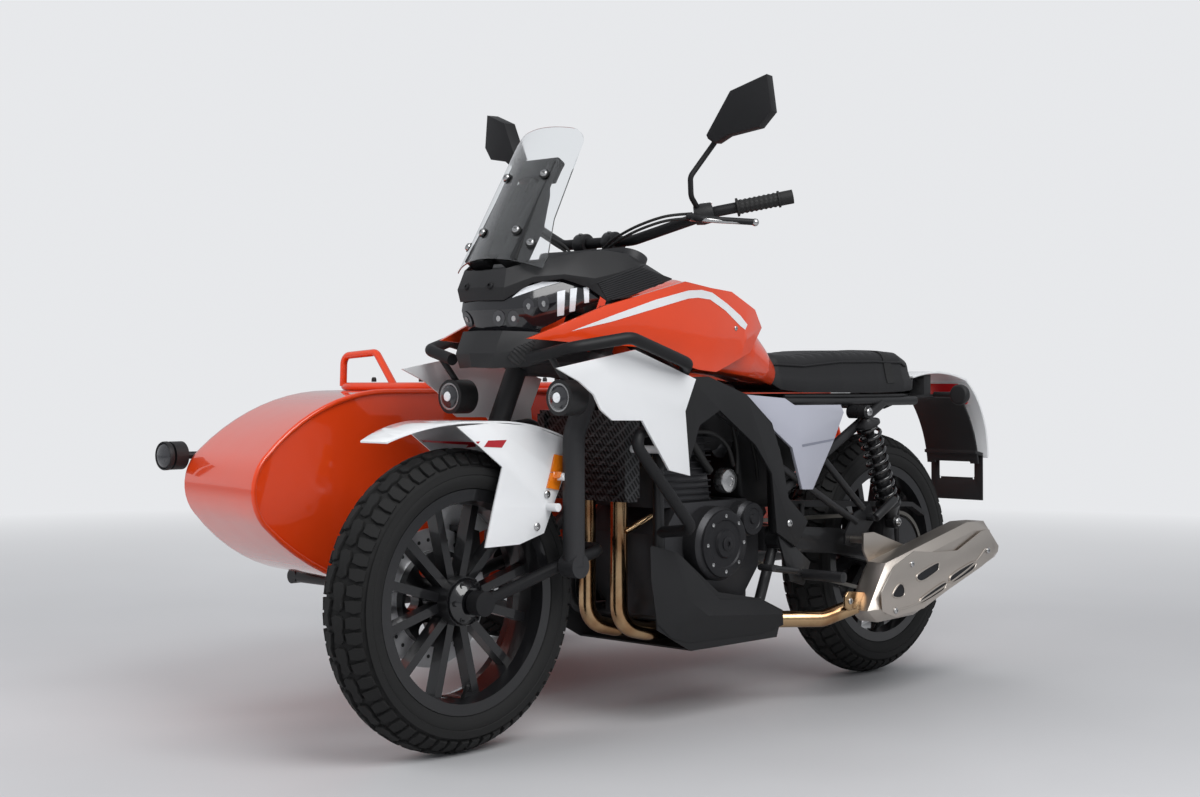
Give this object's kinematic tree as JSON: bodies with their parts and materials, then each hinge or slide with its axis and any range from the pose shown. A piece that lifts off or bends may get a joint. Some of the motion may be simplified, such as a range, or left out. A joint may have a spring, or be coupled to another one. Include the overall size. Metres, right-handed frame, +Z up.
{
  "type": "sidecar motorcycle",
  "caption": "Adventure motorcycle with a leading-link front fork and a passenger sidecar on its right side, standing on three like wheels.",
  "frame": {"origin": "on the floor, in the middle of the outfit's length and width", "axes": "+X to the vehicle's left, -Y forwards, +Z up"},
  "size_m": [1.699, 2.278, 1.432],
  "materials": {
    "frame_paint": "satin dark grey",
    "red_paint": "glossy orange-red",
    "white_shell": "glossy white",
    "grey_panel": "light grey",
    "black_plastic": "grained black",
    "dark_cover": "textured dark grey",
    "engine_metal": "dark painted alloy",
    "header_metal": "heat-tinted bronze",
    "silencer_metal": "brushed champagne",
    "fin_metal": "black finned alloy",
    "chain_steel": "oiled steel",
    "spring_steel": "gloss black",
    "seat_cover": "grained black vinyl",
    "lamp_glass": "clear",
    "red_lens": "clear red",
    "screen_glass": "clear",
    "cast_wheel": "gloss black casting",
    "tyre_rubber": "matt",
    "grip_rubber": "ribbed",
    "mirror_shell": "black"
  },
  "bodies": {
    "chassis": {"main_frame": "frame_paint", "frame_covers": "dark_cover", "engine": "engine_metal", "engine_covers": "engine_metal", "radiator": "fin_metal", "exhaust_headers": "header_metal", "silencer": "silencer_metal", "silencer_shield": "silencer_metal", "belly_guard": "dark_cover", "swingarm": "frame_paint", "rear_shocks": "spring_steel", "drive_chain": "chain_steel", "chain_guard": "black_plastic", "foot_controls": "frame_paint", "fuel_tank": "red_paint", "tank_panels": "red_paint", "front_shrouds": "white_shell", "side_panels": "grey_panel", "seat": "seat_cover", "rear_fender": "white_shell", "plate_bracket": "black_plastic", "rear_lamps": "red_lens", "fairing": "black_plastic", "headlamp": "lamp_glass", "windscreen": "screen_glass", "upper_crash_bars": "frame_paint", "lower_crash_bars": "frame_paint", "fog_lamps": "black_plastic", "sidecar_frame": "frame_paint", "sidecar_side": "red_paint", "sidecar_deck": "red_paint", "sidecar_tub": "red_paint", "sidecar_bulkhead": "black_plastic", "sidecar_coaming": "red_paint", "sidecar_seat": "seat_cover", "sidecar_backrest": "seat_cover", "sidecar_fender": "white_shell", "sidecar_lamps": "black_plastic", "sidecar_suspension": "frame_paint"},
    "steering": {"fork_crowns": "frame_paint", "fork_legs": "frame_paint", "front_link": "frame_paint", "front_brake": "black_plastic", "front_fender": "white_shell", "handlebar": "frame_paint", "grips": "grip_rubber", "mirrors": "mirror_shell"},
    "front_wheel": {"front_tyre": "tyre_rubber", "front_rim": "cast_wheel"},
    "rear_wheel": {"rear_tyre": "tyre_rubber", "rear_rim": "cast_wheel"},
    "sidecar_wheel": {"sidecar_tyre": "tyre_rubber", "sidecar_rim": "cast_wheel"},
    "trunk_lid": {"trunk_lid": "red_paint"}
  },
  "joints": [
    {"name": "steering_turn", "type": "hinge", "parent": "chassis", "child": "steering", "pos_m": [0.4, -0.36508, 1.07015], "axis": [0, 0.4226, 0.9063], "range_deg": [-30, 30]},
    {"name": "front_wheel_spin", "type": "hinge", "parent": "steering", "child": "front_wheel", "pos_m": [0.4, -0.815, 0.32], "axis": [1, 0, 0], "continuous": true},
    {"name": "rear_wheel_spin", "type": "hinge", "parent": "chassis", "child": "rear_wheel", "pos_m": [0.4, 0.665, 0.32], "axis": [1, 0, 0], "continuous": true},
    {"name": "sidecar_wheel_spin", "type": "hinge", "parent": "chassis", "child": "sidecar_wheel", "pos_m": [-0.76, 0.445, 0.32], "axis": [1, 0, 0], "continuous": true},
    {"name": "trunk_lid_hinge", "type": "hinge", "parent": "chassis", "child": "trunk_lid", "pos_m": [-0.25, 0.4205, 0.7628], "axis": [1, 0, 0], "range_deg": [0, 80]}
  ]
}
